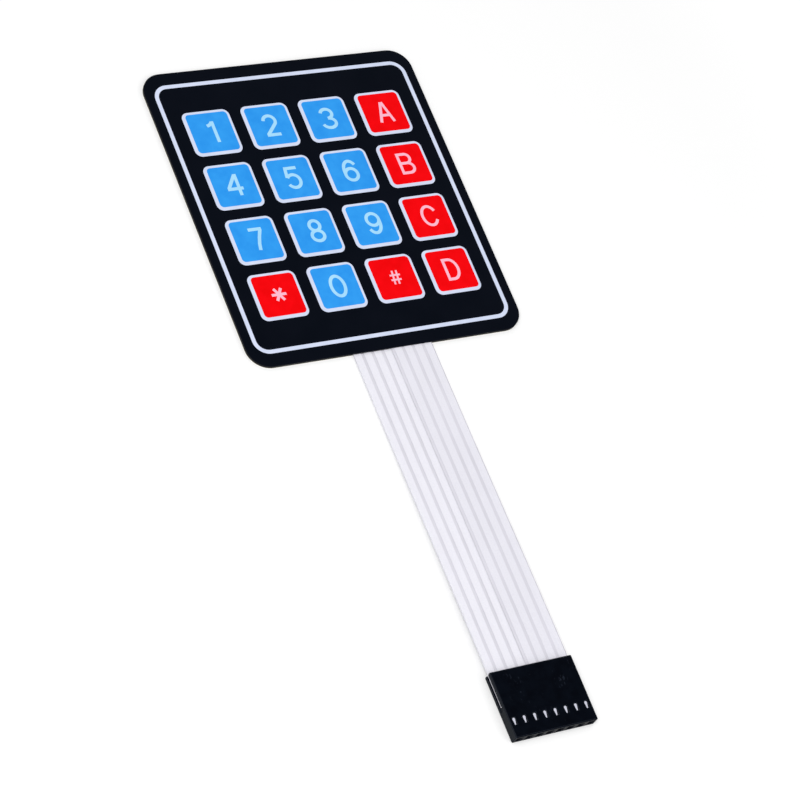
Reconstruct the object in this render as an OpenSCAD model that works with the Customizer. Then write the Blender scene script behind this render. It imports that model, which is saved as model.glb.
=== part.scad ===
// Membrane keypad: 16 flat keys in a laminated panel, a film tail and an 8-way socket.
// Millimetres. The panel's back lies on z = 0 with its centre at the origin, and the tail runs to -Y.

/* [Panel] */
// Width of the panel
panel_w = 69; // [66:0.5:90]
// Height of the panel, without the tail
panel_h = 77; // [72:0.5:100]
// Corner radius of the panel
panel_r = 5.2; // [1:0.1:8]

/* [Keys] */
// Spacing of the key columns
key_pitch_x = 14.7; // [13:0.1:15.4]
// Spacing of the key rows
key_pitch_y = 14.4; // [13:0.1:16]
// Outer side of a key's white frame
key_size = 11.8; // [9:0.1:12.8]
// Outer corner radius of a key's white frame
key_r = 1.65; // [1.1:0.05:3]
// Line width of a key's white frame
key_line = 0.72; // [0.4:0.02:1.04]
// Shift of the colour fields to the right in their frames, from screen registration
field_shift_x = 0.17; // [-0.3:0.01:0.3]
// Shift of the colour fields upwards in their frames
field_shift_y = 0.14; // [-0.3:0.01:0.3]

/* [Border line] */
// Gap from the panel's sides to the border line
border_side_gap = 2.15; // [1:0.05:3]
// Gap from the panel's top and bottom edges to the border line
border_end_gap = 3.15; // [1:0.05:5]
// Width of the border line
border_line = 0.95; // [0.4:0.05:2]
// Outer corner radius of the border line
border_r = 3.55; // [2.1:0.05:6]

/* [Layers] */
// Thickness of the printed top film
overlay_t = 0.19; // [0.1:0.01:0.4]
// Depth of the ink fields in the top film
ink_t = 0.03; // [0.01:0.01:0.08]
// Thickness of the glue film under the top film
overlay_adhesive_t = 0.05; // [0.03:0.01:0.15]
// Thickness of each circuit film
film_t = 0.1; // [0.06:0.01:0.18]
// Thickness of the printed conductors
trace_t = 0.02; // [0.01:0.01:0.04]
// Thickness of the spacer
spacer_t = 0.16; // [0.08:0.01:0.3]
// Thickness of the mounting glue film
back_adhesive_t = 0.12; // [0.05:0.01:0.3]
// Thickness of the release liner
liner_t = 0.08; // [0.05:0.01:0.15]

/* [Circuit] */
// Diameter of a contact pad
pad_d = 8; // [5:0.5:9]
// Diameter of the spacer's hole at each key
hole_d = 10; // [9:0.5:11]
// Width of the spacer's air channels
vent_w = 1; // [0.5:0.1:2]
// Width of the conductors in the panel
trace_w = 0.8; // [0.4:0.05:1]
// Spacing of conductors that run side by side in the panel
lane_pitch = 1.2; // [1.1:0.05:1.4]
// Gap from the holes to the first conductor beside them
lane_gap = 1.25; // [0.8:0.05:1.5]

/* [Tail] */
// Free length of the tail between the panel and the socket
tail_len = 79; // [40:1:140]
// Width of the conductors in the tail
tail_trace_w = 1.8; // [1.75:0.05:2.2]
// Distance of the tail's edges inside the socket's sides
tail_side_gap = 0.26; // [0:0.02:0.5]
// Distance that the conductors stop short of the tail's end
trace_end_gap = 0.3; // [0.1:0.05:0.6]

/* [Socket] */
// Spacing of the contacts
pin_pitch = 2.54; // [2.5:0.01:3]
// Length of the housing along the tail
socket_len = 15.2; // [14.6:0.1:20]
// Height of the housing
socket_h = 2.6; // [2.5:0.05:4]
// Chamfer on the housing's edges
socket_edge = 0.2; // [0.05:0.05:0.3]
// Depth that the tail reaches into the housing
film_depth = 7.6; // [6.6:0.1:7.8]
// Room above and below the tail in its slot
slot_clear = 0.26; // [0.06:0.02:0.34]
// Flare at the slot's mouth
slot_flare = 0.35; // [0.1:0.05:0.5]
// Thickness of the wall at the mating face
front_wall = 0.9; // [0.7:0.05:1.2]
// Side of the square hole for a pin
mouth = 1; // [0.7:0.05:1.15]
// Side of the funnel in front of that hole
funnel = 1.7; // [1.2:0.05:2]
// Depth of the funnel
funnel_depth = 0.5; // [0.2:0.05:0.6]
// Distance of the latch windows' middles from the mating face
window_from_face = 3.7; // [3:0.1:4.5]
// Width of a latch window
window_w = 0.8; // [0.6:0.05:1.1]
// Length of a latch window
window_l = 1.7; // [1.2:0.1:2.2]
// Depth of the notches in the housing's sides
notch_depth = 0.22; // [0.1:0.02:0.24]
// Length of those notches
notch_len = 1.1; // [0.5:0.1:1.5]
// Height of those notches
notch_h = 1.2; // [0.8:0.1:1.6]

/* [Contacts] */
// Sheet thickness of the contacts
metal_t = 0.18; // [0.1:0.01:0.22]
// Outer width of a contact's pin box
box_w = 1.6; // [1.5:0.02:1.7]
// Outer height of a contact's pin box
box_h = 1.5; // [1.4:0.02:1.6]
// Length of a contact's pin box
box_len = 5.8; // [5:0.1:6]
// Room round a contact in its cavity
contact_clear = 0.1; // [0.05:0.01:0.14]
// Side of the square pin that the contacts take
pin_side = 0.64; // [0.5:0.01:0.66]
// Free room between a pin and the spring that will press on it
pin_clear = 0.02; // [0.01:0.01:0.05]
// Width of the spring in the box
spring_w = 0.9; // [0.5:0.05:1]
// Width of the neck between the box and the crimp
neck_w = 0.9; // [0.6:0.05:1.3]
// Length of the neck
neck_len = 0.9; // [0.7:0.05:1.2]
// Width of the crimp
crimp_w = 1.5; // [1.3:0.05:1.6]
// Length of the crimp
crimp_len = 4.8; // [4:0.1:5.2]
// Length of each crimp tine along the tail
tine_len = 0.8; // [0.5:0.05:1.1]
// Width of the folded end of each tine
tine_fold = 0.5; // [0.3:0.02:0.6]
// Room round the tines in the slits that they cut
slit_clear = 0.03; // [0.01:0.01:0.06]
// Rise of the latch above the box
latch_rise = 0.42; // [0.2:0.02:0.5]
// Share of that rise at the latch's pointed end
latch_toe = 0.7; // [0:0.05:1]
// Room between the latch and its window
latch_clear = 0.08; // [0.04:0.01:0.12]

/* [Hidden] */
$fn = 48;
// Overlap of cutting solids past the faces that they cut
slack = 0.5;
cols = 4;
rows = 4;
pins = rows + cols;
// The one blue key of the bottom row
zero_col = 1;

// Heights of the layers, from the back of the panel to its face
z_glue = liner_t;
z_lower = z_glue + back_adhesive_t;
z_spacer = z_lower + film_t;
z_upper = z_spacer + spacer_t;
z_top_glue = z_upper + film_t;
z_overlay = z_top_glue + overlay_adhesive_t;
z_face = z_overlay + overlay_t;

// The tail is both circuit films with the spacer between them
tail_t = 2 * film_t + spacer_t;
socket_w = pins * pin_pitch;
tail_w = socket_w - 2 * tail_side_gap;
tail_rise = socket_h / 2 - (z_lower + tail_t / 2);

// Places along the tail, from the panel to the mating face
panel_bottom = -panel_h / 2;
socket_back = panel_bottom - tail_len;
socket_face = socket_back - socket_len;
film_end = socket_back - film_depth;

// Contact, measured from the mating face
cavity_w = box_w + 2 * contact_clear;
cavity_h = box_h + 2 * contact_clear;
box_start = front_wall + contact_clear;
box_end = box_start + box_len;
crimp_start = box_end + neck_len;
tine_rows = [crimp_start + tine_len, crimp_start + crimp_len - tine_len];
latch_end = window_from_face + window_l / 2 - latch_clear;
latch_start = window_from_face - window_l / 2 + latch_clear;

function key_x(c) = (c - (cols - 1) / 2) * key_pitch_x;
function key_y(r) = ((rows - 1) / 2 - r) * key_pitch_y;
function pin_x(i) = (i - (pins - 1) / 2) * pin_pitch;
function is_red(c, r) = c == cols - 1 || (r == rows - 1 && c != zero_col);

// Conductors beside and below the keys: the top row takes the outermost lane
function lane_x(r) = key_x(0) - hole_d / 2 - lane_gap - (rows - 1 - r) * lane_pitch;
function run_y(level) = key_y(rows - 1) - hole_d / 2 - lane_gap - (rows - 1 - level) * lane_pitch;
function col_level(c) = min(c, cols - 1 - c);

// Rise of the tail, level at both ends
function ease(t) = t * t * (3 - 2 * t);
path_steps = 12;
sheet_path = concat(
    [[panel_h / 2 + slack, 0]],
    [for (k = [0 : path_steps])
        [panel_bottom - tail_len * k / path_steps, tail_rise * ease(k / path_steps)]],
    [[film_end - slack, tail_rise]]);

module rounded_rect(w, h, r) {
    square([w - 2 * r, h], center = true);
    square([w, h - 2 * r], center = true);
    for (sx = [-1, 1], sy = [-1, 1]) {
        translate([sx * (w / 2 - r), sy * (h / 2 - r)]) circle(r);
    }
}

module chamfered_rect(w, h, c) {
    polygon([[c, 0], [w - c, 0], [w, c], [w, h - c], [w - c, h], [c, h], [0, h - c], [0, c]]);
}

// A straight conductor between two points of one row or one column
module bar(p, q, w) {
    translate([min(p.x, q.x) - w / 2, min(p.y, q.y) - w / 2]) {
        square([abs(p.x - q.x) + w, abs(p.y - q.y) + w]);
    }
}

// A profile in Y and Z, drawn out along X
module across(w) {
    rotate([90, 0, 90]) linear_extrude(height = w, center = true) children();
}

// The part of an outline that lies in one layer, and follows that layer from the panel into the tail
module layer(z, t) {
    intersection() {
        across(panel_w + 2 * slack) polygon(concat(
            [for (p = sheet_path) [p.x, p.y + z]],
            [for (k = [len(sheet_path) - 1 : -1 : 0]) [sheet_path[k].x, sheet_path[k].y + z + t]]));
        translate([0, 0, -slack]) linear_extrude(height = socket_h + 2 * slack) children();
    }
}

module panel_outline() {
    rounded_rect(panel_w, panel_h, panel_r);
}

module circuit_outline() {
    panel_outline();
    translate([-tail_w / 2, film_end]) square([tail_w, -film_end]);
}

// Slits that the crimp tines cut through the tail
module tine_slits() {
    for (i = [0 : pins - 1], side = [-1, 1], y = tine_rows) {
        translate([pin_x(i) + side * (crimp_w - metal_t) / 2, socket_face + y])
            square([metal_t + 2 * slit_clear, tine_len + 2 * slit_clear], center = true);
    }
}

// A conductor's stretch from its lane down the tail
module tail_bar(i, y_start) {
    y_end = film_end + trace_end_gap;
    translate([pin_x(i) - tail_trace_w / 2, y_end]) square([tail_trace_w, y_start + trace_w / 2 - y_end]);
}

module row_outline(r) {
    for (c = [0 : cols - 1]) {
        translate([key_x(c), key_y(r)]) circle(d = pad_d);
    }
    bar([lane_x(r), key_y(r)], [key_x(cols - 1), key_y(r)], trace_w);
    bar([lane_x(r), key_y(r)], [lane_x(r), run_y(r)], trace_w);
    bar([lane_x(r), run_y(r)], [pin_x(r), run_y(r)], trace_w);
    tail_bar(r, run_y(r));
}

module col_outline(c) {
    y_run = run_y(col_level(c));
    for (r = [0 : rows - 1]) {
        translate([key_x(c), key_y(r)]) circle(d = pad_d);
    }
    bar([key_x(c), key_y(0)], [key_x(c), y_run], trace_w);
    bar([key_x(c), y_run], [pin_x(rows + c), y_run], trace_w);
    tail_bar(rows + c, y_run);
}

module border_ring() {
    w = panel_w - 2 * border_side_gap;
    h = panel_h - 2 * border_end_gap;
    difference() {
        rounded_rect(w, h, border_r);
        rounded_rect(w - 2 * border_line, h - 2 * border_line, border_r - border_line);
    }
}

module key_square() {
    rounded_rect(key_size, key_size, key_r);
}

module key_field() translate([field_shift_x, field_shift_y]) {
    rounded_rect(key_size - 2 * key_line, key_size - 2 * key_line, key_r - key_line);
}

module at_keys(red, blue) {
    for (c = [0 : cols - 1], r = [0 : rows - 1]) {
        if (is_red(c, r) ? red : blue) {
            translate([key_x(c), key_y(r)]) children();
        }
    }
}

module graphic_overlay() color("#12151A") difference() {
    translate([0, 0, z_overlay]) linear_extrude(height = overlay_t) panel_outline();
    translate([0, 0, z_face - ink_t]) linear_extrude(height = ink_t + slack) {
        at_keys(red = true, blue = true) key_square();
        border_ring();
    }
}

module white_print() color("#DEE0F5") translate([0, 0, z_face - ink_t]) linear_extrude(height = ink_t) {
    border_ring();
    at_keys(red = true, blue = true) difference() {
        key_square();
        key_field();
    }
}

module blue_print() color("#2999ED") translate([0, 0, z_face - ink_t]) linear_extrude(height = ink_t) {
    at_keys(red = false, blue = true) key_field();
}

module red_print() color("#F5060C") translate([0, 0, z_face - ink_t]) linear_extrude(height = ink_t) {
    at_keys(red = true, blue = false) key_field();
}

module overlay_adhesive() color("#2A2C30") translate([0, 0, z_top_glue]) {
    linear_extrude(height = overlay_adhesive_t) panel_outline();
}

module upper_circuit() color("#E9E9F2", 0.6) difference() {
    layer(z_upper, film_t) difference() {
        circuit_outline();
        tine_slits();
    }
    layer(z_upper - slack, trace_t + slack) for (c = [0 : cols - 1]) {
        col_outline(c);
    }
}

module column_trace(c) color("#C9CBD0") layer(z_upper, trace_t) difference() {
    col_outline(c);
    tine_slits();
}

module spacer() color("#D5D7DC", 0.6) layer(z_spacer, spacer_t) difference() {
    circuit_outline();
    tine_slits();
    at_keys(red = true, blue = true) circle(d = hole_d);
    for (r = [0 : rows - 1]) {
        bar([key_x(0), key_y(r)], [key_x(cols - 1), key_y(r)], vent_w);
    }
    bar([key_x(0), key_y(0)], [key_x(0), key_y(rows - 1)], vent_w);
}

module lower_circuit() color("#E9E9F2", 0.6) difference() {
    layer(z_lower, film_t) difference() {
        circuit_outline();
        tine_slits();
    }
    layer(z_spacer - trace_t, trace_t + slack) for (r = [0 : rows - 1]) {
        row_outline(r);
    }
}

module row_trace(r) color("#C9CBD0") layer(z_spacer - trace_t, trace_t) difference() {
    row_outline(r);
    tine_slits();
}

module back_adhesive() color("#33353A") translate([0, 0, z_glue]) {
    linear_extrude(height = back_adhesive_t) panel_outline();
}

module release_liner() color("#E6DFCB") linear_extrude(height = liner_t) panel_outline();

// Housing, drawn from its mating face at y = 0
module housing_block() intersection() {
    translate([-socket_w / 2, 0, 0]) linear_extrude(height = socket_h) {
        chamfered_rect(socket_w, socket_len, socket_edge);
    }
    across(socket_w) chamfered_rect(socket_len, socket_h, socket_edge);
    translate([-socket_w / 2, socket_len, 0]) rotate([90, 0, 0]) linear_extrude(height = socket_len) {
        chamfered_rect(socket_w, socket_h, socket_edge);
    }
}

module funnel_profile() {
    polygon([[-funnel / 2, -slack], [funnel / 2, -slack], [funnel / 2, 0],
        [mouth / 2, funnel_depth], [-mouth / 2, funnel_depth], [-funnel / 2, 0]]);
}

module pin_mouth() {
    translate([-mouth / 2, -slack, -mouth / 2]) cube([mouth, front_wall + 2 * slack, mouth]);
    intersection() {
        linear_extrude(height = funnel, center = true) funnel_profile();
        rotate([0, 90, 0]) linear_extrude(height = funnel, center = true) funnel_profile();
    }
}

module contact_cavity() {
    translate([-cavity_w / 2, front_wall, -cavity_h / 2]) cube([cavity_w, socket_len, cavity_h]);
    translate([-window_w / 2, window_from_face - window_l / 2, 0]) cube([window_w, window_l, socket_h]);
}

// The tail's slot is open at the back and at both sides, and its mouth is flared
module film_slot() across(socket_w + 2 * slack) {
    half = tail_t / 2 + slot_clear;
    back = socket_len;
    end = socket_len - film_depth - slot_clear;
    translate([0, socket_h / 2]) polygon([[end, -half], [back - slot_flare, -half],
        [back, -half - slot_flare], [back + slack, -half - slot_flare], [back + slack, half + slot_flare],
        [back, half + slot_flare], [back - slot_flare, half], [end, half]]);
}

module connector_housing() color("#0B0D12") translate([0, socket_face, 0]) difference() {
    housing_block();
    for (i = [0 : pins - 1]) {
        translate([pin_x(i), 0, socket_h / 2]) {
            pin_mouth();
            contact_cavity();
        }
    }
    film_slot();
    for (side = [-1, 1]) {
        translate([side * socket_w / 2, socket_len - film_depth - notch_len / 2, socket_h / 2])
            cube([2 * notch_depth, notch_len, notch_h], center = true);
    }
}

// Contact, drawn from the mating face with the tail's middle plane at z = 0
module pin_box() translate([0, box_start, 0]) difference() {
    translate([-box_w / 2, 0, -box_h / 2]) cube([box_w, box_len, box_h]);
    translate([-box_w / 2 + metal_t, -slack, -box_h / 2 + metal_t]) {
        cube([box_w - 2 * metal_t, box_len + 2 * slack, box_h - 2 * metal_t]);
    }
}

// Arched leaf on the box's floor, with its top just under the pin
module pin_spring() across(spring_w) {
    steps = 10;
    base = -box_h / 2 + metal_t / 2;
    arch = -pin_side / 2 - pin_clear - metal_t / 2 - base;
    leaf_start = box_start + metal_t;
    leaf_len = box_len - 2 * metal_t;
    leaf = [for (k = [0 : steps]) [leaf_start + leaf_len * k / steps, base + arch * sin(180 * k / steps)]];
    polygon(concat(
        [for (p = leaf) [p.x, p.y - metal_t / 2]],
        [for (k = [steps : -1 : 0]) [leaf[k].x, leaf[k].y + metal_t / 2]]));
}

// Latch that stands up from the box's roof into the window, round behind and pointed in front
module pin_latch() intersection() {
    across(window_w) polygon([[latch_start, box_h / 2 - metal_t / 2],
        [latch_start, box_h / 2 + latch_rise * latch_toe],
        [latch_end, box_h / 2 + latch_rise], [latch_end, box_h / 2 - metal_t / 2]]);
    linear_extrude(height = socket_h) {
        half = window_w / 2 - latch_clear;
        shoulder = latch_end - half;
        translate([0, shoulder]) circle(half);
        polygon([[-half / 3, latch_start], [half / 3, latch_start], [half, shoulder], [-half, shoulder]]);
    }
}

module contact_neck() across(neck_w) {
    low = -box_h / 2;
    high = -tail_t / 2 - metal_t;
    polygon([[box_end - metal_t, low], [box_end, low], [crimp_start, high], [crimp_start + metal_t, high],
        [crimp_start + metal_t, high + metal_t], [crimp_start, high + metal_t], [box_end, low + metal_t],
        [box_end - metal_t, low + metal_t]]);
}

// Crimp plate under the tail, with tines that pass through it and fold over its top
module crimp() {
    low = -tail_t / 2 - metal_t;
    translate([-crimp_w / 2, crimp_start, low]) cube([crimp_w, crimp_len, metal_t]);
    for (side = [0, 1], y = tine_rows) {
        mirror([side, 0, 0]) translate([crimp_w / 2 - metal_t, y - tine_len / 2, low]) {
            cube([metal_t, tine_len, tail_t + 2 * metal_t]);
            translate([metal_t - tine_fold, 0, tail_t + metal_t]) cube([tine_fold, tine_len, metal_t]);
        }
    }
}

module contact(i) color("#D9D6CE") translate([pin_x(i), socket_face, socket_h / 2]) {
    pin_box();
    pin_spring();
    pin_latch();
    contact_neck();
    crimp();
}

graphic_overlay();
white_print();
blue_print();
red_print();
overlay_adhesive();
upper_circuit();
spacer();
lower_circuit();
back_adhesive();
release_liner();
connector_housing();
for (c = [0 : cols - 1]) {
    column_trace(c);
}
for (r = [0 : rows - 1]) {
    row_trace(r);
}
for (i = [0 : pins - 1]) {
    contact(i);
}
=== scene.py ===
import math

import bmesh
import bpy
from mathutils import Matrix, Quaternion, Vector


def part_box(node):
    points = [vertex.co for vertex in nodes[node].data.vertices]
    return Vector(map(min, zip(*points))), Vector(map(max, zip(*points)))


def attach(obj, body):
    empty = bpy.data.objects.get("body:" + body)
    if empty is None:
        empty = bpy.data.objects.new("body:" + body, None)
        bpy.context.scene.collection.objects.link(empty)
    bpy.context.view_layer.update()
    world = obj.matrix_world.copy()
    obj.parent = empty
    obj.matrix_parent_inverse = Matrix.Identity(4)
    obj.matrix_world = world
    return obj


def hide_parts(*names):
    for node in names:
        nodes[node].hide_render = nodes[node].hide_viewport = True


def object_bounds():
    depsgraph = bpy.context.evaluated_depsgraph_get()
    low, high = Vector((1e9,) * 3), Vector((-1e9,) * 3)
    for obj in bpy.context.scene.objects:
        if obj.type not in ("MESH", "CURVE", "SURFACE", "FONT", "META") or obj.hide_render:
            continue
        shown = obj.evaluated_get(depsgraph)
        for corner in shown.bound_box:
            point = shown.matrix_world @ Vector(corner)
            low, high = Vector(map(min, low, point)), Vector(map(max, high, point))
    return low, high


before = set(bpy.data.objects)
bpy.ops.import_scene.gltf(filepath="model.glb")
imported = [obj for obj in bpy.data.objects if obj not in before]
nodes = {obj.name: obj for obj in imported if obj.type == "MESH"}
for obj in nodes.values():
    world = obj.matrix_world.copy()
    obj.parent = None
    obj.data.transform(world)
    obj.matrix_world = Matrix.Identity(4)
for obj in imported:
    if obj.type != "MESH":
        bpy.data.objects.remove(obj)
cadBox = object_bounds()
scene = bpy.context.scene
mm = 0.001
samePlace = 0.001 * mm  # points nearer than this are one
print("frame loaded,", len(nodes), "nodes")


def linear(hexColour):  # sRGB hex to the linear colour that a shader takes
    channels = [int(hexColour[k:k + 2], 16) / 255 for k in (1, 3, 5)]
    return [c / 12.92 if c <= 0.04045 else ((c + 0.055) / 1.055) ** 2.4 for c in channels] + [1.0]


def addNode(tree, kind, settings=None, links=None):
    # a setting is a property of the node or one of its inputs, a link runs from an output to an input
    node = tree.nodes.new(kind)
    for name, value in (settings or {}).items():
        if isinstance(name, str) and hasattr(node, name):
            setattr(node, name, value)
        else:
            node.inputs[name].default_value = value
    for name, source in (links or {}).items():
        tree.links.new(source, node.inputs[name])
    return node


def startMaterial(name, shaderSettings):
    material = bpy.data.materials.new(name)
    material.use_nodes = True
    tree = material.node_tree
    tree.nodes.clear()
    shader = addNode(tree, "ShaderNodeBsdfPrincipled", shaderSettings)
    addNode(tree, "ShaderNodeOutputMaterial", links={"Surface": shader.outputs["BSDF"]})
    place = addNode(tree, "ShaderNodeTexCoord").outputs["Object"]
    return material, tree, shader, place


# A noise's values lie mostly between these, which become the two ends of a tone or a gloss.
noiseSpan = {"tone": (0.3, 0.7), "gloss": (0.35, 0.65)}


def addGrain(tree, shader, place, finish):
    # fine relief, and a gloss that varies in patches: sizes in mm, roughness from low to high
    grain = addNode(tree, "ShaderNodeTexNoise", {"Scale": 1000 / finish["grain"], "Detail": 3.0},
                    {"Vector": place}).outputs["Fac"]
    patches = addNode(tree, "ShaderNodeTexNoise", {"Scale": 1000 / finish["patches"], "Detail": 2.0},
                      {"Vector": place}).outputs["Fac"]
    low, high = noiseSpan["gloss"]
    smooth, rough = finish["roughness"]
    gloss = addNode(tree, "ShaderNodeMapRange",
                    {"From Min": low, "From Max": high, "To Min": smooth, "To Max": rough},
                    {"Value": patches})
    relief = addNode(tree, "ShaderNodeBump", {"Strength": 1.0, "Distance": finish["relief"] * mm},
                     {"Height": grain})
    tree.links.new(gloss.outputs["Result"], shader.inputs["Roughness"])
    tree.links.new(relief.outputs["Normal"], shader.inputs["Normal"])
    return {"grain": grain, "patches": patches}


# Sockets of a colour mix, which share their names with those of its other kinds.
mixSockets = {"factor": 0, "under": 6, "over": 7, "outcome": 2}


def addTone(tree, shader, pattern, dark, light):
    # colour that wanders between two near tones with a pattern
    low, high = noiseSpan["tone"]
    tone = addNode(tree, "ShaderNodeMapRange", {"From Min": low, "From Max": high}, {"Value": pattern})
    mix = addNode(tree, "ShaderNodeMix",
                  {"data_type": "RGBA", mixSockets["under"]: linear(dark),
                   mixSockets["over"]: linear(light)}, {mixSockets["factor"]: tone.outputs["Result"]})
    tree.links.new(mix.outputs[mixSockets["outcome"]], shader.inputs["Base Color"])


def addLayer(tree, shader, mask, colour):
    # another tone over the base colour where the mask is 1
    base = shader.inputs["Base Color"].links[0].from_socket
    mix = addNode(tree, "ShaderNodeMix", {"data_type": "RGBA", mixSockets["over"]: linear(colour)},
                  {mixSockets["factor"]: mask, mixSockets["under"]: base})
    tree.links.new(mix.outputs[mixSockets["outcome"]], shader.inputs["Base Color"])


# Polyester overlay film, velvet-coated: deep black with a faint satin sheen and a very fine tooth.
# The real tooth is about 0.05 mm, drawn coarser here so that it shows.
overlayFinish = {"grain": 0.3, "patches": 9.0, "relief": 0.005, "roughness": (0.42, 0.54)}


def makeOverlayFilm():
    material, tree, shader, place = startMaterial("velvetPolyesterBlack", {"Specular IOR Level": 0.025})
    pattern = addGrain(tree, shader, place, overlayFinish)
    addTone(tree, shader, pattern["patches"], "#020610", "#060A14")
    return material


# Screen-printed ink on the film: flat, even colour that takes the film's tooth, with a slight mottle.
inkFinish = {"grain": 0.3, "patches": 2.4, "relief": 0.004, "roughness": (0.4, 0.5)}


def makeInk(name, dark, light):
    material, tree, shader, place = startMaterial(name, {"Specular IOR Level": 0.03})
    pattern = addGrain(tree, shader, place, inkFinish)
    addTone(tree, shader, pattern["patches"], dark, light)
    return material


# Acrylic glue film with carbon black: dull dark edge between the films.
glueFinish = {"grain": 0.2, "patches": 3.0, "relief": 0.01, "roughness": (0.55, 0.7)}


def makeGlue():
    material, tree, shader, place = startMaterial("acrylicGlueBlack", {"Specular IOR Level": 0.2})
    pattern = addGrain(tree, shader, place, glueFinish)
    addTone(tree, shader, pattern["grain"], "#101114", "#1A1B1F")
    return material


# Clear polyester film: a glossy skin, what lies under it shows.
# The back of the lowest ply is heat-treated and milky, and so are the cut edges.
filmFinish = {"grain": 1.6, "patches": 14.0, "relief": 0.006, "roughness": (0.16, 0.26)}


def makeFilm(name, alpha, dark, light):
    material, tree, shader, place = startMaterial(name, {"Alpha": alpha})
    pattern = addGrain(tree, shader, place, filmFinish)
    addTone(tree, shader, pattern["patches"], dark, light)
    return material


# Printed silver paste: pale matte metal flake, nearly white through the film.
# The column conductors are given a tone a shade darker than the row conductors.
pasteFinish = {"grain": 0.25, "patches": 5.0, "relief": 0.006, "roughness": (0.45, 0.6)}


def makeSilverPaste(name, dark, light):
    material, tree, shader, place = startMaterial(name, {"Metallic": 0.1})
    pattern = addGrain(tree, shader, place, pasteFinish)
    addTone(tree, shader, pattern["grain"], dark, light)
    return material


# Siliconed kraft paper of the liner: cream, short fibres, a dull wax shine.
linerFinish = {"grain": 0.5, "patches": 6.0, "relief": 0.008, "roughness": (0.45, 0.6)}


def makeLinerPaper():
    material, tree, shader, place = startMaterial("siliconedKraftPaper", {"Specular IOR Level": 0.35})
    pattern = addGrain(tree, shader, place, linerFinish)
    addTone(tree, shader, pattern["grain"], "#DDD5BE", "#EAE3CF")
    return material


# Moulded nylon of the socket: dense black and polished on top, with short scratches in scuffed places.
# The walls facing along x are painted lighter, as if lit from the side, and a highlight is painted along the
# edges.
# In mm: a scratch across, along and into the part, a scuffed place, and the width of the painted edge
# highlight.
# A From pair says where a mark begins and where it is full, and scratchTurn is in radians.
nylonFinish = {"grain": 0.4, "patches": 2.5, "relief": 0.004, "roughness": (0.2, 0.36),
               "scratch": (0.3, 0.9, 10.0), "scratchTurn": 0.5, "scratchFrom": (0.4, 0.46), "scuffed": 7.0,
               "edge": 0.16, "edgeFrom": (0.995, 0.9), "wearAndHighlight": 0.8}


def addScratches(tree, shader, place):
    along = addNode(tree, "ShaderNodeMapping",
                    {"Rotation": (0, 0, nylonFinish["scratchTurn"]),
                     "Scale": [1000 / size for size in nylonFinish["scratch"]]}, {"Vector": place})
    flecks = addNode(tree, "ShaderNodeTexNoise", {"Scale": 1.0, "Detail": 2.0, "Distortion": 0.8},
                     {"Vector": along.outputs[0]})
    scuffed = addNode(tree, "ShaderNodeTexNoise", {"Scale": 1000 / nylonFinish["scuffed"], "Detail": 1.0},
                      {"Vector": place})
    both = addNode(tree, "ShaderNodeMath", {"operation": "MULTIPLY"},
                   {0: flecks.outputs["Fac"], 1: scuffed.outputs["Fac"]})
    low, high = nylonFinish["scratchFrom"]
    scratches = addNode(tree, "ShaderNodeMapRange",
                        {"From Min": low, "From Max": high, "To Max": nylonFinish["wearAndHighlight"]},
                        {"Value": both.outputs[0]})
    addLayer(tree, shader, scratches.outputs["Result"], "#232833")


def addPaintedWallLightAndEdgeHighlight(tree, shader):
    # painted light: faces turned along x, the side walls, get a lighter tone that stands in for the light
    # they catch
    face = addNode(tree, "ShaderNodeNewGeometry").outputs["True Normal"]
    sideways = addNode(tree, "ShaderNodeSeparateXYZ", links={0: face})
    walls = addNode(tree, "ShaderNodeMath", {"operation": "ABSOLUTE"}, {0: sideways.outputs["X"]})
    addLayer(tree, shader, walls.outputs[0], "#24272B")
    # a rounded normal turns away from the face only near an edge, and there a highlight is painted into the
    # colour
    rounded = addNode(tree, "ShaderNodeBevel", {"samples": 6, "Radius": nylonFinish["edge"] * mm})
    turn = addNode(tree, "ShaderNodeVectorMath", {"operation": "DOT_PRODUCT"},
                   {0: face, 1: rounded.outputs["Normal"]})
    flat, turned = nylonFinish["edgeFrom"]
    edges = addNode(tree, "ShaderNodeMapRange",
                    {"From Min": flat, "From Max": turned, "To Max": nylonFinish["wearAndHighlight"]},
                    {"Value": turn.outputs["Value"]})
    addLayer(tree, shader, edges.outputs["Result"], "#363B47")


def makeNylon():
    material, tree, shader, place = startMaterial("mouldedNylonBlack", {"Specular IOR Level": 0.02})
    pattern = addGrain(tree, shader, place, nylonFinish)
    addTone(tree, shader, pattern["patches"], "#01030A", "#040811")
    addScratches(tree, shader, place)
    addPaintedWallLightAndEdgeHighlight(tree, shader)
    return material


# Tin-plated phosphor bronze strip: bright white metal with a fine grain.
tinFinish = {"grain": 0.15, "patches": 1.2, "relief": 0.003, "roughness": (0.2, 0.34)}


def makeTin():
    material, tree, shader, place = startMaterial("tinnedBronzeStrip", {"Metallic": 1.0})
    pattern = addGrain(tree, shader, place, tinFinish)
    addTone(tree, shader, pattern["grain"], "#C3C4D2", "#DADBE8")
    return material


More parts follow.
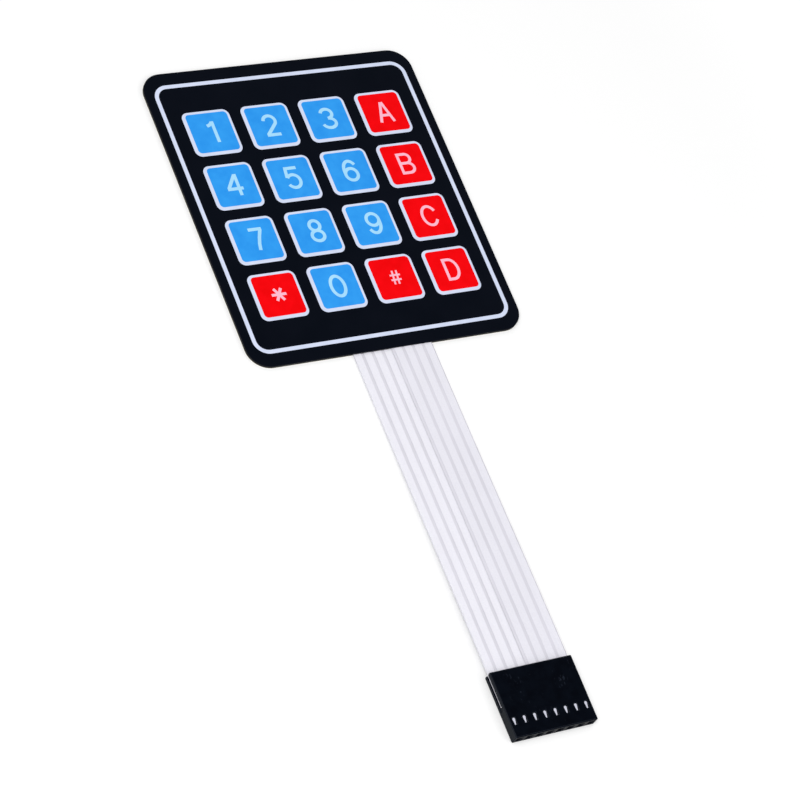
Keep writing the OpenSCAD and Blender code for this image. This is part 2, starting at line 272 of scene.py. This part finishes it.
overlayFilm = makeOverlayFilm()
whiteInk = makeInk("screenInkWhite", "#D2DBF3", "#DBE3FA")
blueInk = makeInk("screenInkBlue", "#2D97F0", "#35A1F6")
redInk = makeInk("screenInkRed", "#F20208", "#FC040E")
legendOnBlue = makeInk("screenInkWhiteOverBlue", "#A3DBFE", "#AEE3FF")  # thin white lets some blue through
legendOnRed = makeInk("screenInkWhiteOverRed", "#FFB7CD", "#FFC2D5")
glue = makeGlue()
clearFilm = makeFilm("clearPolyesterFilm", 0.12, "#E2E1EB", "#EAE9F3")
milkyFilm = makeFilm("milkyPolyesterFilm", 0.88, "#E8E6EF", "#EFEDF6")
rowPaste = makeSilverPaste("printedSilverPasteRows", "#F0EFF7", "#F8F7FD")
columnPaste = makeSilverPaste("printedSilverPasteColumns", "#EAE9F1", "#F2F1F8")
linerPaper = makeLinerPaper()
nylon = makeNylon()
tin = makeTin()


def named(start):
    return [name for name in nodes if name.startswith(start)]


def dress(material, *names):
    for name in names:
        for slot in nodes[name].material_slots:
            slot.material = material


dress(overlayFilm, "graphic_overlay")
dress(whiteInk, "white_print")
dress(blueInk, "blue_print")
dress(redInk, "red_print")
dress(glue, "overlay_adhesive", "back_adhesive")
dress(rowPaste, *named("row_trace_"))
dress(columnPaste, *named("column_trace_"))
dress(linerPaper, "release_liner")
dress(nylon, "connector_housing")
dress(tin, *named("contact_"))
print("materials made:", len(bpy.data.materials))


def addPath(mesh, paths):
    # open lines of points become edges, and a line that ends where it starts becomes a ring
    points, edges = [], []
    for path in paths:
        first = len(points)
        ring = (Vector(path[0]) - Vector(path[-1])).length < samePlace
        kept = path[:-1] if ring else path
        points += kept
        edges += [(first + k, first + k + 1) for k in range(len(kept) - 1)]
        if ring:
            edges.append((len(points) - 1, first))
    mesh.from_pydata(points, edges, [])
    return mesh


def growPiece(name, mesh, tree, inputs):
    # runs a node tree on a mesh of paths and keeps the outcome as a plain mesh
    seed = bpy.data.objects.new(name + "Paths", mesh)
    scene.collection.objects.link(seed)
    modifier = seed.modifiers.new("build", "NODES")
    modifier.node_group = tree
    for socket in tree.interface.items_tree:
        if socket.in_out == "INPUT" and socket.name in inputs:
            modifier[socket.identifier] = inputs[socket.name]
    evaluated = seed.evaluated_get(bpy.context.evaluated_depsgraph_get())
    piece = bpy.data.objects.new(name, bpy.data.meshes.new_from_object(evaluated))
    piece.data.shade_flat()
    bpy.data.objects.remove(seed)
    scene.collection.objects.link(piece)
    return piece


def startTree(name, inputs):
    tree = bpy.data.node_groups.new(name, "GeometryNodeTree")
    tree.interface.new_socket("Geometry", in_out="INPUT", socket_type="NodeSocketGeometry")
    for label, kind in inputs.items():
        tree.interface.new_socket(label, in_out="INPUT", socket_type="NodeSocket" + kind)
    tree.interface.new_socket("Geometry", in_out="OUTPUT", socket_type="NodeSocketGeometry")
    return tree, addNode(tree, "NodeGroupInput").outputs


def endTree(tree, geometry, material):
    real = addNode(tree, "GeometryNodeRealizeInstances", links={"Geometry": geometry})
    inked = addNode(tree, "GeometryNodeSetMaterial",
                    links={"Geometry": real.outputs[0], "Material": material})
    addNode(tree, "NodeGroupOutput", links={"Geometry": inked.outputs[0]})


def makeStrokeTree():
    # a flat ribbon of ink along each path
    tree, given = startTree("inkStrokes", {"Stroke Width": "Float", "Ink Thickness": "Float",
                                           "Material": "Material"})
    lines = addNode(tree, "GeometryNodeMeshToCurve", links={"Mesh": given["Geometry"]})
    level = addNode(tree, "GeometryNodeSetCurveNormal", {"mode": "Z_UP"}, {"Curve": lines.outputs[0]})
    section = addNode(tree, "GeometryNodeCurvePrimitiveQuadrilateral", {"mode": "RECTANGLE"},
                      {"Width": given["Stroke Width"], "Height": given["Ink Thickness"]})
    ribbon = addNode(tree, "GeometryNodeCurveToMesh", {"Fill Caps": True},
                     {"Curve": level.outputs[0], "Profile Curve": section.outputs[0]})
    # strokes that cross become one body of ink
    joined = addNode(tree, "GeometryNodeMeshBoolean",
                     {"operation": "UNION", "solver": "EXACT", "Self Intersection": True},
                     {"Mesh 2": ribbon.outputs[0]})
    endTree(tree, joined.outputs[0], given["Material"])
    return tree


# Legends: one light sans-serif hand, drawn as pen strokes in mm about the middle of each sign.
# The print lies a little off the middle of its key: a shift for all signs, a nudge sideways for some.
# Height is the share of the drawn height at which all signs print.
# Each piece has its signs, its pen's width in mm and its ink.
legends = {"thickness": 0.012, "shift": (0.15, 0.12), "height": 0.98,
           "nudge": {"2": -0.25, "35": -0.12, "4": 0.1, "7": 0.45, "89": 0.32},
           "layout": ["123A", "456B", "789C", "*0#D"],
           "pieces": {"digits_on_blue": ("0123456789", 0.8, legendOnBlue),
                      "letters_on_red": ("ABCD", 0.7, legendOnRed),
                      "star_on_red": ("*", 0.68, legendOnRed),
                      "hash_on_red": ("#", 0.45, legendOnRed)}}
arcSteps = {"degrees": 10, "least": 6}  # one step for so many degrees, and at least so many steps


def arc(cx, cy, rx, ry, start, end):
    steps = max(arcSteps["least"], round(abs(end - start) / arcSteps["degrees"]))
    angles = [math.radians(start + (end - start) * k / steps) for k in range(steps + 1)]
    return [(cx + rx * math.cos(a), cy + ry * math.sin(a)) for a in angles]


def ray(length, angle):  # a stroke through the middle
    a = math.radians(angle)
    x, y = length / 2 * math.cos(a), length / 2 * math.sin(a)
    return [(-x, -y), (x, y)]


six = [arc(0, -1.06, 1.53, 1.6, 0, 360), arc(0.15, -0.1, 1.68, 2.65, 36, 180) + [(-1.53, -1.06)]]
signs = {
    "0": [arc(0, -0.06, 1.67, 2.62, 0, 360)],
    "1": [[(0.56, -2.92), (0.56, 2.8)], [(-0.95, 1.65), (-0.4, 1.8), (0.08, 2.12), (0.4, 2.6)]],
    "2": [arc(0.1, 1.08, 1.47, 1.46, 172, -35) + [(-1.35, -2.54)], [(-1.65, -2.68), (1.85, -2.68)]],
    "3": [arc(0.02, 1.3, 1.42, 1.27, 167, -90), arc(0.02, -1.28, 1.65, 1.31, 90, -169)],
    "4": [[(0.7, 2.89), (0.7, -2.85)], [(0.6, 2.7), (-1.8, -0.8)], [(-2.15, -1), (1.73, -1)]],
    "5": [[(1.7, 2.62), (-1.4, 2.62)], [(-1.06, 2.62), (-1.34, 0.12)],
          arc(0.02, -0.92, 1.62, 1.74, 145, -153)],
    "6": six,
    "7": [[(-1.73, 2.63), (1.56, 2.63)], [(1.24, 2.5), (0.4, 0.5), (-0.2, -1.3), (-0.48, -2.87)]],
    "8": [arc(0, 1.5, 1.28, 1.32, 0, 360), arc(0, -1.21, 1.5, 1.37, 0, 360)],
    "9": [[(-x, -y) for x, y in path] for path in six],
    "A": [[(-1.7, -2.87), (-0.1, 2.72)], [(1.7, -2.87), (0.1, 2.72)], [(-1.2, -0.95), (1.2, -0.95)]],
    "B": [[(-1.63, -2.9), (-1.63, 2.9)],
          [(-1.63, 2.56), (0.15, 2.56)] + arc(0.15, 1.33, 1.18, 1.23, 90, -90) + [(-1.63, 0.1)],
          [(0.15, 0.1)] + arc(0.15, -1.23, 1.42, 1.33, 90, -90) + [(-1.63, -2.56)]],
    "C": [arc(0.13, 0, 1.8, 2.54, 28, 332)],
    "D": [[(-1.56, -2.92), (-1.56, 2.92)],
          [(-1.56, 2.58), (-0.3, 2.58)] + arc(-0.3, 0, 1.84, 2.58, 90, -90) + [(-1.56, -2.58)]],
    "*": [ray(3.6, 0), ray(3.6, 60), ray(3.6, 120)],
    "#": [[(-0.7, -1.8), (-0.35, 1.8)], [(0.35, -1.8), (0.7, 1.8)],
          [(-1.3, 0.62), (1.3, 0.62)], [(-1.3, -0.62), (1.3, -0.62)]],
}


def keyGrid():
    # the red fields reach one column further than the blue ones, which gives pitch and field size
    across = len(legends["layout"][0]) - 1
    down = len(legends["layout"]) - 1
    redLow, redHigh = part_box("red_print")
    blueLow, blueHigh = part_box("blue_print")
    pitchX = (redHigh.x - redLow.x) - (blueHigh.x - blueLow.x)
    field = redHigh.x - redLow.x - across * pitchX
    pitchY = (redHigh.y - redLow.y - field) / down
    first = Vector((redLow.x + field / 2, redHigh.y - field / 2, redHigh.z))
    return first, pitchX, pitchY


def makeLegends():
    first, pitchX, pitchY = keyGrid()
    tall = legends["height"]
    paths = {}
    for row, line in enumerate(legends["layout"]):
        for column, sign in enumerate(line):
            nudge = sum(step for group, step in legends["nudge"].items() if sign in group)
            x = first.x + column * pitchX + (legends["shift"][0] + nudge) * mm
            y = first.y - row * pitchY + legends["shift"][1] * mm
            z = first.z + legends["thickness"] * mm / 2
            paths[sign] = [[(x + px * mm, y + py * tall * mm, z) for px, py in path] for path in signs[sign]]
    tree = makeStrokeTree()
    for name, (group, stroke, ink) in legends["pieces"].items():
        strokes = [path for sign in group for path in paths[sign]]
        piece = growPiece(name, addPath(bpy.data.meshes.new(name), strokes), tree,
                          {"Stroke Width": stroke * mm, "Ink Thickness": legends["thickness"] * mm,
                           "Material": ink})
        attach(piece, "root")
        print(name, len(piece.data.polygons), "faces")


makeLegends()

# Circuit films: the three clear plies seen as one laminate, with the printed conductors inside it.
# Over each conductor the top ply stands up by most of the paste's thickness.
# The column conductors lie on a milky strip of the spacer, as far over it as the rows are over the back.
# Sizes in mm, and steps counts the stretches of the tail's rise.
films = {"steps": 60, "ridge": 0.016, "ridgeWidth": 1.8, "ramp": 0.12, "inside": 2.0, "clearOfPanel": 1.0,
         "strip": 0.04, "pastMiddle": 0.365}


def makeFilmTree():
    tree, given = startTree("filmLoft", {"Section": "Object", "Material": "Material"})
    path = addNode(tree, "GeometryNodeMeshToCurve", links={"Mesh": given["Geometry"]})
    level = addNode(tree, "GeometryNodeSetCurveNormal", {"mode": "Z_UP"}, {"Curve": path.outputs[0]})
    shape = addNode(tree, "GeometryNodeObjectInfo", links={"Object": given["Section"]})
    section = addNode(tree, "GeometryNodeMeshToCurve", links={"Mesh": shape.outputs["Geometry"]})
    loft = addNode(tree, "GeometryNodeCurveToMesh", {"Fill Caps": True},
                   {"Curve": level.outputs[0], "Profile Curve": section.outputs[0]})
    endTree(tree, loft.outputs[0], given["Material"])
    return tree


def loftFilm(name, tree, path, ring, material):
    section = bpy.data.objects.new(name + "Section",
                                   addPath(bpy.data.meshes.new(name + "Section"), [ring + ring[:1]]))
    piece = growPiece(name, addPath(bpy.data.meshes.new(name), [path]), tree,
                      {"Section": section, "Material": material})
    bpy.data.objects.remove(section)
    return piece


def tailPath(panelEdge, middle):
    # level out of the panel, then up in a soft S to the middle of the socket and into its slot
    socketLow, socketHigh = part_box("connector_housing")
    rise = (socketLow.z + socketHigh.z) / 2 - middle
    length = panelEdge - socketHigh.y
    path = [(0, panelEdge + films["inside"] * mm, middle)]
    for k in range(films["steps"] + 1):
        t = k / films["steps"]
        path.append((0, panelEdge - length * t, middle + rise * t * t * (3 - 2 * t)))
    path.append((0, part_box("lower_circuit")[0].y, middle + rise))
    return path


def tailSection(halfWidth, thickness, centres):
    flat = films["ridgeWidth"] * mm / 2
    foot = flat + films["ramp"] * mm
    level = thickness / 2
    high = level + films["ridge"] * mm
    top = []
    for x in centres:
        top += [(x - foot, level), (x - flat, high), (x + flat, high), (x + foot, level)]
    top = [p for p in top if abs(p[0]) < halfWidth]
    ring = [(-halfWidth, -level), (-halfWidth, level)] + top + [(halfWidth, level), (halfWidth, -level)]
    return [(x, y, 0.0) for x, y in ring]


def spacerStrip(halfWidth, middle, zLow, clear):
    # under the half of the tail that holds the column conductors, and a section's x runs against the frame's
    columns = [v.co.x for v in nodes["column_trace_1"].data.vertices if v.co.y < clear]
    side = math.copysign(halfWidth - films["strip"] * mm, -columns[0])
    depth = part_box("row_trace_1")[0].z - zLow
    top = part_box("column_trace_1")[0].z - depth - middle
    low = top - films["strip"] * mm
    past = -math.copysign(films["pastMiddle"] * mm, side)
    return [(past, low, 0.0), (past, top, 0.0), (side, top, 0.0), (side, low, 0.0)]


def panelOutline():
    low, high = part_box("graphic_overlay")
    edge = [v.co.x for v in nodes["graphic_overlay"].data.vertices if v.co.y < low.y + samePlace]
    radius = high.x - max(edge)
    corners = [(high.x, high.y), (low.x, high.y), (low.x, low.y), (high.x, low.y)]
    outline = []
    for quarter, (x, y) in enumerate(corners):
        inX = x - math.copysign(radius, x)
        inY = y - math.copysign(radius, y)
        outline += arc(inX, inY, radius, radius, 90 * quarter, 90 * quarter + 90)
    return outline


def joinPlies(piece, strip, outline, zLow, zHigh):
    # the tail is clear on top and milky elsewhere, and the strip inside it is all milky
    piece.data.materials.append(milkyFilm)
    piece.data.materials.append(glue)
    clearAt, milkyAt, glueAt = range(len(piece.data.materials))
    plies = bmesh.new()
    plies.from_mesh(piece.data)
    bmesh.ops.recalc_face_normals(plies, faces=plies.faces)
    for face in plies.faces:
        looksUp = face.normal.z > 0.5
        face.material_index = clearAt if looksUp else milkyAt
    tailFaces = len(plies.faces)
    plies.from_mesh(strip.data)
    bpy.data.objects.remove(strip)
    plies.faces.ensure_lookup_table()
    for face in plies.faces[tailFaces:]:
        face.material_index = milkyAt
    # the panel's share of the plies: only its cut edge shows, dark from the glue on both sides
    bottom = plies.faces.new([plies.verts.new((x, y, zLow)) for x, y in reversed(outline)])
    bottom.material_index = glueAt
    grown = bmesh.ops.extrude_face_region(plies, geom=[bottom], use_keep_orig=True)
    raised = [g for g in grown["geom"] if isinstance(g, bmesh.types.BMVert)]
    bmesh.ops.translate(plies, verts=raised, vec=(0, 0, zHigh - zLow))
    bmesh.ops.recalc_face_normals(plies, faces=plies.faces)
    plies.to_mesh(piece.data)
    plies.free()


def makeCircuitFilms():
    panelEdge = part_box("graphic_overlay")[0].y
    clear = panelEdge - films["clearOfPanel"] * mm
    zLow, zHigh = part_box("back_adhesive")[1].z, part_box("overlay_adhesive")[0].z
    middle = (zLow + zHigh) / 2
    halfWidth = max(abs(v.co.x) for v in nodes["lower_circuit"].data.vertices if v.co.y < clear)
    pins = sorted(sum(corner.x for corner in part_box(name)) / 2 for name in named("contact_"))
    tree = makeFilmTree()
    path = tailPath(panelEdge, middle)
    piece = loftFilm("circuit_films", tree, path, tailSection(halfWidth, zHigh - zLow, pins), clearFilm)
    strip = loftFilm("spacerStrip", tree, path, spacerStrip(halfWidth, middle, zLow, clear), milkyFilm)
    joinPlies(piece, strip, panelOutline(), zLow, zHigh)
    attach(piece, "root")
    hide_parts("upper_circuit", "spacer", "lower_circuit")
    print("circuit_films", len(piece.data.polygons), "faces")


makeCircuitFilms()

# Stage: a pale floor that keeps the soft shadow and goes over into the white sky, distances in metres.
stageSet = {"floorSize": 4.0, "floorDrop": 0.00002, "floorColour": "#F4F4F4", "lift": 0.14,
            "near": 0.1, "far": 0.4, "sky": 0.55}


def seenByEye(tree):
    # 1 for camera, glossy and transmission rays, so that reflections show the same white
    rays = addNode(tree, "ShaderNodeLightPath")
    first = addNode(tree, "ShaderNodeMath", {"operation": "MAXIMUM"},
                    {0: rays.outputs["Is Camera Ray"], 1: rays.outputs["Is Glossy Ray"]})
    return addNode(tree, "ShaderNodeMath", {"operation": "MAXIMUM"},
                   {0: first.outputs[0], 1: rays.outputs["Is Transmission Ray"]}).outputs[0]


def makeBackdropPaper():
    # matte paper that glows more with distance, for the eye only
    material = bpy.data.materials.new("matteBackdropPaper")
    material.use_nodes = True
    tree = material.node_tree
    tree.nodes.clear()
    paper = addNode(tree, "ShaderNodeBsdfDiffuse", {"Color": linear(stageSet["floorColour"])})
    place = addNode(tree, "ShaderNodeTexCoord").outputs["Object"]
    away = addNode(tree, "ShaderNodeVectorMath", {"operation": "LENGTH"}, {0: place})
    rise = addNode(tree, "ShaderNodeMapRange",
                   {"interpolation_type": "SMOOTHSTEP", "From Min": stageSet["near"],
                    "From Max": stageSet["far"], "To Min": stageSet["lift"], "To Max": 1.0},
                   {"Value": away.outputs["Value"]})
    lift = addNode(tree, "ShaderNodeMath", {"operation": "MULTIPLY"},
                   {0: seenByEye(tree), 1: rise.outputs["Result"]})
    glow = addNode(tree, "ShaderNodeEmission", links={"Strength": lift.outputs[0]})
    both = addNode(tree, "ShaderNodeAddShader", links={0: paper.outputs[0], 1: glow.outputs[0]})
    addNode(tree, "ShaderNodeOutputMaterial", links={"Surface": both.outputs[0]})
    return material


def makeFloor():
    half = stageSet["floorSize"] / 2
    z = cadBox[0].z - stageSet["floorDrop"]
    corners = [(-half, -half, z), (half, -half, z), (half, half, z), (-half, half, z)]
    mesh = bpy.data.meshes.new("floor")
    mesh.from_pydata(corners, [], [(0, 1, 2, 3)])
    mesh.materials.append(makeBackdropPaper())
    floor = bpy.data.objects.new("floor", mesh)
    scene.collection.objects.link(floor)


def makeSky():
    world = bpy.data.worlds.new("studio")
    scene.world = world
    world.use_nodes = True
    tree = world.node_tree
    tree.nodes.clear()
    strength = addNode(tree, "ShaderNodeMapRange", {"To Min": stageSet["sky"], "To Max": 1.0},
                       {"Value": seenByEye(tree)})
    sky = addNode(tree, "ShaderNodeBackground", {"Color": (1, 1, 1, 1)},
                  {"Strength": strength.outputs["Result"]})
    addNode(tree, "ShaderNodeOutputWorld", links={"Surface": sky.outputs[0]})


# Softboxes by place in metres, size in metres and power in watts, all aimed at one spot on the panel.
softboxes = {"keyBox": ((-0.45, -0.25, 0.8), 0.7, 4.7), "fillBox": ((0.5, -0.7, 0.6), 0.6, 1.3)}
lampAim = (0, -0.04, 0)


def makeLamps():
    for name, (place, size, power) in softboxes.items():
        lamp = bpy.data.lights.new(name, "AREA")
        lamp.size = size
        lamp.energy = power
        box = bpy.data.objects.new(name, lamp)
        scene.collection.objects.link(box)
        box.location = place
        box.rotation_euler = (Vector(lampAim) - Vector(place)).to_track_quat("-Z", "Y").to_euler()


# Camera: where it looks and how far it stands off in mm, its direction and roll in degrees, and its lens.
view = {"target": (-3.1, -51.0, 0.0), "azimuth": -141.9, "elevation": 52.2, "distance": 666.6,
        "roll": 35.6, "lens": 137.9, "clipStart": 10.0}


def makeCamera():
    camera = bpy.data.objects.new("camera", bpy.data.cameras.new("camera"))
    scene.collection.objects.link(camera)
    az, el = math.radians(view["azimuth"]), math.radians(view["elevation"])
    back = Vector((math.cos(az) * math.cos(el), math.sin(az) * math.cos(el), math.sin(el)))
    camera.location = Vector(view["target"]) * mm + back * view["distance"] * mm
    roll = Quaternion((0, 0, 1), math.radians(view["roll"]))
    camera.rotation_mode = "QUATERNION"
    camera.rotation_quaternion = (-back).to_track_quat("-Z", "Y") @ roll
    camera.data.lens = view["lens"]
    camera.data.clip_start = view["clipStart"] * mm
    scene.camera = camera


makeFloor()
makeSky()
makeLamps()
makeCamera()
scene.view_settings.view_transform = "Standard"
print("stage, lamps and camera set")
